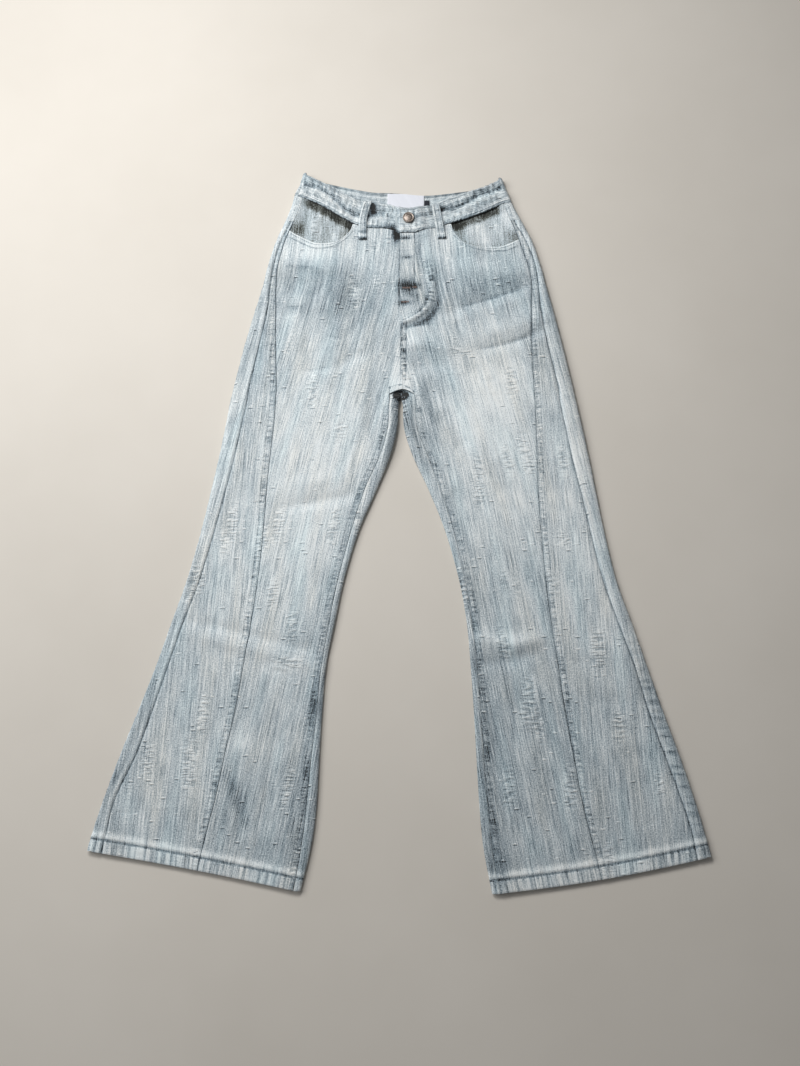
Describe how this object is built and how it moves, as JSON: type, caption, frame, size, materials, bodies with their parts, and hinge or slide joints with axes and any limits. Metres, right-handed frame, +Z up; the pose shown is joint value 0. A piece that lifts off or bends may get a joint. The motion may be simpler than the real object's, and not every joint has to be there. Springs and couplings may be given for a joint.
{
  "type": "flared bootcut jeans laid flat",
  "caption": "Flared blue-grey denim jeans laid face up, legs apart, with side panels, scoop pockets, fly front and a low curved waistband.",
  "frame": {"origin": "centre of the laid garment's outline, on the plane it lies on", "axes": "+Z up out of the front of the jeans, +Y from the hems toward the waist, +X toward the wearer's left leg"},
  "size_m": [0.8302, 1.0396, 0.0173],
  "materials": {
    "denim_front": "washed slub denim, faded pale at the thighs",
    "denim_side": "washed slub denim, bluer",
    "denim_band": "washed slub denim, worn pale at the edges",
    "denim_facing": "washed denim in the pocket opening",
    "label_white": "blank satin woven label",
    "label_black": "blank black woven tab",
    "button_metal": "antique copper, rubbed"
  },
  "bodies": {
    "root": {"front_left": "denim_front", "front_right": "denim_front", "side_panel_left": "denim_side", "side_panel_right": "denim_side", "back_left": "denim_side", "back_right": "denim_side", "yoke_left": "denim_side", "yoke_right": "denim_side", "waistband": "denim_band", "belt_loop_left": "denim_band", "belt_loop_right": "denim_band", "pocket_facing_left": "denim_facing", "pocket_facing_right": "denim_facing", "label": "label_white", "size_tab": "label_black", "button": "button_metal"}
  },
  "joints": []
}
